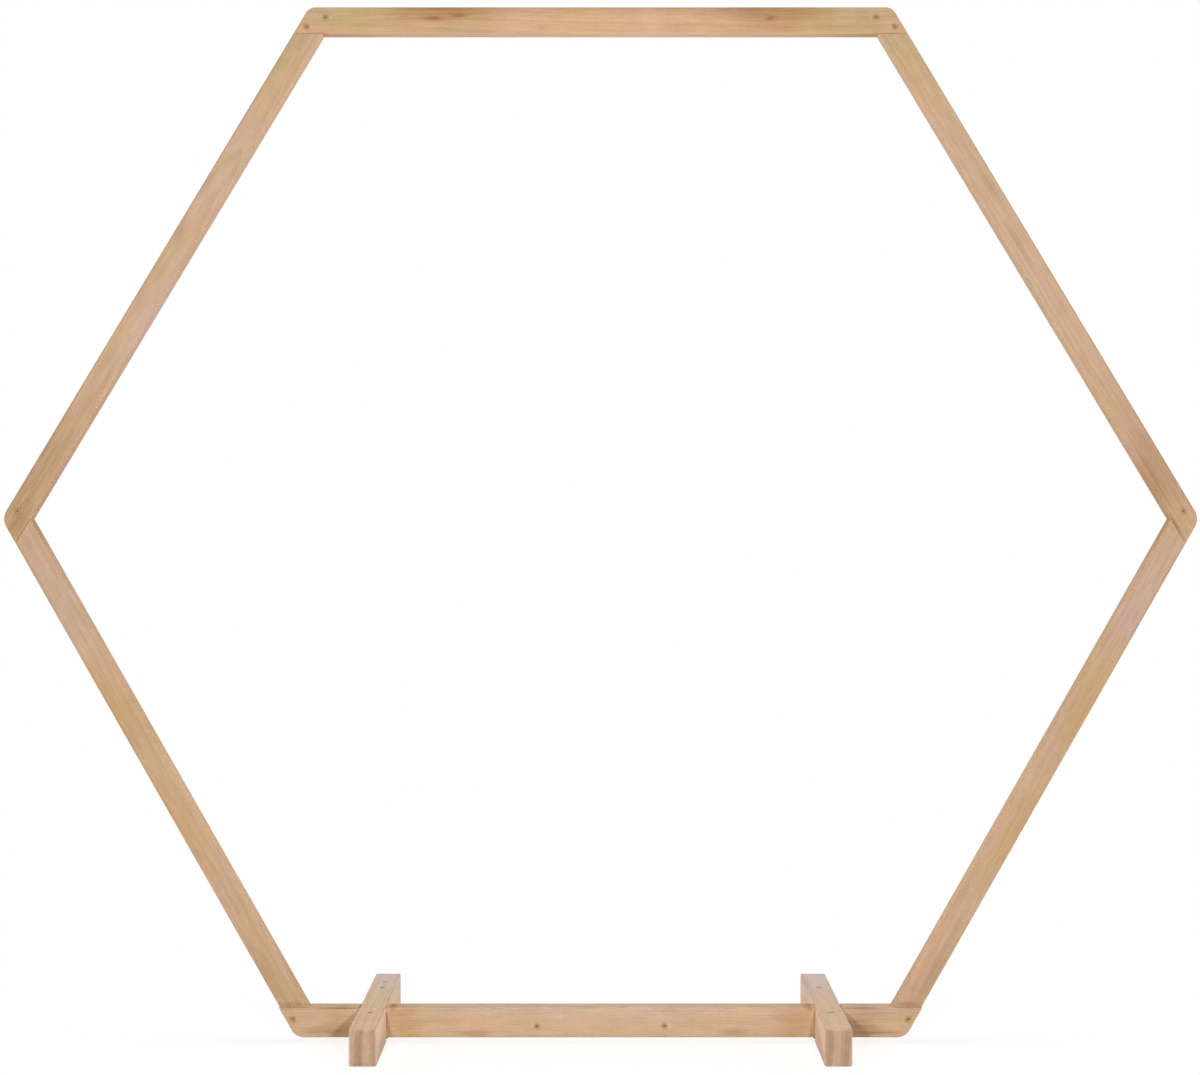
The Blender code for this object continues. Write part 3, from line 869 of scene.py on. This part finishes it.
def screw_material():
    """Yellowed steel, dulled and browned in blotches, with painted shade darkening the cross recess."""
    material, graph, shader = new_material("dulled_screw_steel")
    place = graph.add("ShaderNodeTexCoord").outputs["Object"]
    blotch = graph.noise(place, STEEL_BLOTCH, seed=3.0, detail=3.0, roughness=0.6)
    scuff = graph.noise(place, STEEL_SCUFF, seed=6.0)
    height = graph.add("ShaderNodeSeparateXYZ", {"Vector": place}).outputs["Z"]
    sunk = graph.remap(height, -RECESS_SHADE_DEPTH, 0.0, 1.0, 0.0, smooth=True)
    colour = graph.mix(graph.remap(blotch, *STEEL_BLOTCH_SPAN), STEEL, BROWNED_STEEL)
    # Painted shade: the steel darkens inside the cross recess
    colour = graph.mix(sunk, colour, RECESS_SHADE_STEEL)
    roughness = graph.remap(blotch, *STEEL_ROUGHNESS_SPAN, *STEEL_ROUGHNESS)
    graph.feed(shader.inputs["Base Color"], colour)
    graph.feed(shader.inputs["Roughness"], roughness)
    shader.inputs["Metallic"].default_value = STEEL_METALLIC
    shader.inputs["Specular IOR Level"].default_value = STEEL_SPECULAR
    bump = graph.add("ShaderNodeBump", {"Height": scuff})
    bump.inputs["Strength"].default_value = STEEL_BUMP
    bump.inputs["Distance"].default_value = STEEL_BUMP_DEPTH
    graph.feed(shader.inputs["Normal"], bump.outputs["Normal"])
    return material


def lap_screws(word, side):
    """The screws of the three laps on one side."""
    laps = (
        ("top_" + word, "top_rail", TOP_LAP_SCREWS, -1),
        (word, "upper_" + word + "_rail", SIDE_LAP_SCREWS, 1),
        ("bottom_" + word, "bottom_rail", BOTTOM_LAP_SCREWS, 1),
    )
    placed = []
    for corner_name, node, places, up in laps:
        corner = corners[corner_name]
        for number, (inwards, from_edge) in enumerate(places, 1):
            x = corner.x - side * inwards
            z = corner.z + up * from_edge
            head = Vector((x, front_y + HEAD_SINK, z))
            name = f"{corner_name}_lap_screw_{number}"
            spin = LAP_SPIN_BY_X * x + LAP_SPIN_BY_Z * z
            placed.append(Screw(name, node, head, FORWARD, spin, -side * CHIP_REACH))
    return placed


def rail_screw(word, side):
    """The screw in one half of the bottom rail's face."""
    x = side * BOTTOM_RAIL_SCREW_SPREAD / 2
    head = Vector((x, front_y + HEAD_SINK, bottom_z + BOTTOM_RAIL_SCREW_HEIGHT))
    spin = BOTTOM_RAIL_SPIN + side * BOTTOM_RAIL_SPIN_BY_SIDE
    name = f"bottom_rail_screw_{word}"
    return Screw(name, "bottom_rail", head, FORWARD, spin, side * CHIP_REACH)


def foot_screws(word, side):
    """Two screws in the top of a foot, and a slanting one from the bottom rail into the foot."""
    node = word + "_foot"
    low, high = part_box(node)
    centre_x = (low.x + high.x) / 2
    placed = []
    for end_word, end in (("front", -1), ("rear", 1)):
        head = Vector((centre_x, end * (high.y - FOOT_SCREW_INSET), foot_top_z - HEAD_SINK))
        spin = FOOT_SPIN_BY_END * end + side
        placed.append(Screw(f"{node}_screw_{end_word}", node, head, UPWARD, spin, 0.0))
    lean = Vector((-side * math.sin(TOE_LEAN), 0.0, math.cos(TOE_LEAN)))
    toe_x = side * (abs(centre_x) - (high.x - low.x) / 2 - TOE_SCREW_TO_FOOT)
    mouth = Vector((toe_x, front_y + TOE_SCREW_FROM_FACE, foot_top_z))
    head = mouth - lean * TOE_HEAD_SINK
    placed.append(Screw(f"{node}_toe_screw", "bottom_rail", head, lean, TOE_SPIN + side, 0.0))
    return placed


def screw_places():
    """The screws of the laps, the bottom rail and the feet, each turned a little differently."""
    places = []
    for word, side in SIDES:
        places += lap_screws(word, side)
        places.append(rail_screw(word, side))
        places += foot_screws(word, side)
    return places


def screw_marks(board):
    """Bruised wood round each screw in a board, and a chip of paler wood beside some."""
    along, across, _ = board_axes(board.start, board.end, board.inside)
    marks = []
    for screw in screws:
        if screw.board != board.node:
            continue
        place = screw.head - board.start
        marks.append(Mark(place.dot(along), place.dot(across), BRUISE_SIZE, BRUISE_SIZE, BRUISE))
        if screw.chip:
            chip = place + Vector((screw.chip, 0.0, 0.0))
            marks.append(Mark(chip.dot(along), chip.dot(across), CHIP_SIZE, CHIP_SIZE, CHIP))
    return marks


def add_screw(screw):
    """One screw whose head is centred at its place, just under the surface."""
    obj = bpy.data.objects.new(screw.name, screw_shape)
    aim = screw.out.to_track_quat("Z", "Y").to_matrix().to_4x4()
    obj.matrix_world = Matrix.Translation(screw.head) @ aim @ Matrix.Rotation(screw.spin, 4, "Z")
    bpy.context.scene.collection.objects.link(obj)
    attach(obj, "root")


def add_floor():
    """A plain pale floor that blends into the white backdrop."""
    mesh = bpy.data.meshes.new("studio_floor")
    x, y = FLOOR_WIDTH / 2, FLOOR_DEPTH / 2
    z = -FLOOR_DROP
    mesh.from_pydata([(-x, -y, z), (x, -y, z), (x, y, z), (-x, y, z)], [], [(0, 1, 2, 3)])
    floor = bpy.data.objects.new("studio_floor", mesh)
    bpy.context.scene.collection.objects.link(floor)
    floor.visible_diffuse = False
    floor.visible_glossy = False
    floor.visible_shadow = False
    material, graph, shader = new_material("pale_floor")
    tree = graph.tree
    shader.inputs["Base Color"].default_value = FLOOR_COLOUR
    shader.inputs["Roughness"].default_value = FLOOR_ROUGHNESS
    shader.inputs["Specular IOR Level"].default_value = 0.0
    shader.inputs["Emission Color"].default_value = WHITE
    shader.inputs["Emission Strength"].default_value = FLOOR_GLOW
    place = graph.add("ShaderNodeTexCoord").outputs["Object"]
    away = graph.vector("LENGTH", graph.vector("MULTIPLY", place, FLOOR_SHADE_SCALE))
    share = graph.remap(away, FLOOR_SHADE_FROM, FLOOR_SHADE_TO, smooth=True)
    backdrop = graph.add("ShaderNodeEmission", {"Color": WHITE, "Strength": 1.0})
    blend = graph.add("ShaderNodeMixShader", {0: share})
    tree.links.new(shader.outputs["BSDF"], blend.inputs[1])
    tree.links.new(backdrop.outputs["Emission"], blend.inputs[2])
    tree.links.new(blend.outputs["Shader"], tree.nodes["Material Output"].inputs["Surface"])
    mesh.materials.append(material)


def add_world():
    """White to the eye, and soft even light on the object."""
    world = bpy.data.worlds.new("studio")
    world.use_nodes = True
    tree = world.node_tree
    graph = Graph(tree)
    tree.nodes.clear()
    seen = graph.add("ShaderNodeLightPath").outputs["Is Camera Ray"]
    light = graph.add("ShaderNodeBackground", {"Color": WHITE, "Strength": WORLD_LIGHT})
    white = graph.add("ShaderNodeBackground", {"Color": WHITE, "Strength": 1.0})
    blend = graph.add("ShaderNodeMixShader", {0: seen})
    tree.links.new(light.outputs["Background"], blend.inputs[1])
    tree.links.new(white.outputs["Background"], blend.inputs[2])
    output = graph.add("ShaderNodeOutputWorld")
    tree.links.new(blend.outputs["Shader"], output.inputs["Surface"])
    bpy.context.scene.world = world


def add_lamp(name, place, target, size, power):
    lamp = bpy.data.lights.new(name, "AREA")
    lamp.shape = "DISK"
    lamp.size = size
    lamp.energy = power
    obj = bpy.data.objects.new(name, lamp)
    obj.location = place
    obj.rotation_euler = (Vector(target) - Vector(place)).to_track_quat("-Z", "Y").to_euler()
    obj.visible_camera = False
    bpy.context.scene.collection.objects.link(obj)


def add_lights():
    """Two small lamps in front, by which the feet shade the bottom rail, and soft ones all round.

    The low lamps at the sides stand in for the light that a wide pale floor throws up.
    """
    middle = Vector((0.0, 0.0, (top_z + bottom_z) / 2))
    for word, side in SIDES:
        place = (side * FRONT_LAMP_SPREAD, -LAMP_DISTANCE, FRONT_LAMP_HEIGHT)
        add_lamp("front_lamp_" + word, place, middle, FRONT_LAMP_SIZE, FRONT_LAMP_POWER)
        place = (side * REAR_LAMP_SPREAD, LAMP_DISTANCE, REAR_LAMP_HEIGHT)
        add_lamp("rear_lamp_" + word, place, middle, REAR_LAMP_SIZE, REAR_LAMP_POWER)
        place = (side * LOW_LAMP_SPREAD, 0.0, LOW_LAMP_HEIGHT)
        add_lamp("low_lamp_" + word, place, middle, LOW_LAMP_SIZE, LOW_LAMP_POWER)
    add_lamp("top_lamp", (0.0, 0.0, TOP_LAMP_HEIGHT), middle, TOP_LAMP_SIZE, TOP_LAMP_POWER)


def add_camera():
    """Level and straight in front, with its frame shifted a little to match the photograph."""
    camera = bpy.data.cameras.new("photo_camera")
    camera.sensor_width = SENSOR_WIDTH
    camera.lens = SENSOR_WIDTH * CAMERA_DISTANCE / VISIBLE_WIDTH
    camera.shift_x = (PHOTO_WIDTH / 2 - MIDDLE_COLUMN) / PHOTO_WIDTH
    camera.shift_y = -(PHOTO_HEIGHT / 2 - HORIZON_ROW) / PHOTO_WIDTH
    obj = bpy.data.objects.new("photo_camera", camera)
    obj.location = (0.0, front_y - CAMERA_DISTANCE, CAMERA_HEIGHT)
    obj.rotation_euler = (math.pi / 2, 0.0, 0.0)
    bpy.context.scene.collection.objects.link(obj)
    bpy.context.scene.camera = obj


corners = hexagon_corners()
screws = screw_places()
pine_grain = grain_group()
for board in wood_boards():
    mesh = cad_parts[board.node].data
    mesh.materials.clear()
    mesh.materials.append(pine_material(board))

screw_shape = screw_mesh()
screw_shape.materials.append(screw_material())
for screw in screws:
    add_screw(screw)

add_floor()
add_world()
add_lights()
add_camera()
bpy.context.scene.view_settings.view_transform = "Standard"
